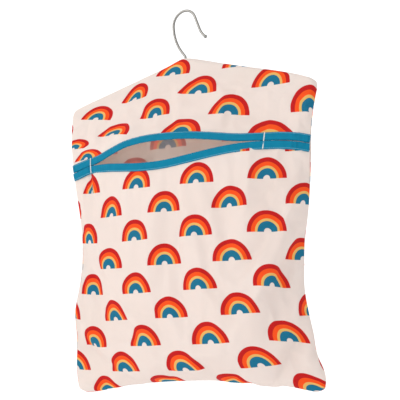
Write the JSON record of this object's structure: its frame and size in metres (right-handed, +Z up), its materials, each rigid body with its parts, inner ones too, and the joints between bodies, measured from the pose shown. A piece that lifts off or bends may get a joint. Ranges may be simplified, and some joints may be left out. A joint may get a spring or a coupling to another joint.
{
  "type": "hanging peg bag",
  "caption": "Printed cotton peg bag sewn over a wooden hanger bar, with a bound slit mouth across its upper front and a wire hook that swivels.",
  "frame": {"origin": "inside top of the hook's crown, where the rail that carries the bag touches it", "axes": "+Z up along the hook's upright stem, +X to the right of someone facing the bag, -Y out of the front with the mouth"},
  "size_m": [0.315, 0.0556, 0.4565],
  "materials": {
    "steel_wire": "drawn steel wire, satin bright",
    "zinc_washer": "zinc plated, dull",
    "pale_wood": "sanded pale hardwood, thin lacquer",
    "printed_cotton": "plain-weave cotton, cream, printed with small rainbow arcs in red, orange, pale yellow and teal",
    "teal_tape": "teal cotton bias tape",
    "teal_thread": "teal sewing thread",
    "white_thread": "white sewing thread",
    "seam_thread": "overlocked cotton seam allowance"
  },
  "bodies": {
    "hook": {"hook": "steel_wire"},
    "bag": {"hook_washer": "zinc_washer", "hanger_bar": "pale_wood", "front_yoke": "printed_cotton", "front_lower_panel": "printed_cotton", "back_panel": "printed_cotton", "upper_binding": "teal_tape", "lower_binding": "teal_tape", "upper_binding_stitching": "teal_thread", "lower_binding_stitching": "teal_thread", "left_bar_tack": "white_thread", "right_bar_tack": "white_thread", "left_side_seam": "seam_thread", "right_side_seam": "seam_thread", "left_shoulder_seam": "seam_thread", "right_shoulder_seam": "seam_thread", "bottom_seam": "seam_thread"}
  },
  "joints": [
    {"name": "hook_swivel", "type": "hinge", "parent": "hook", "child": "bag", "pos_m": [0, 0, -0.065], "axis": [0, 0, 1], "continuous": true}
  ]
}
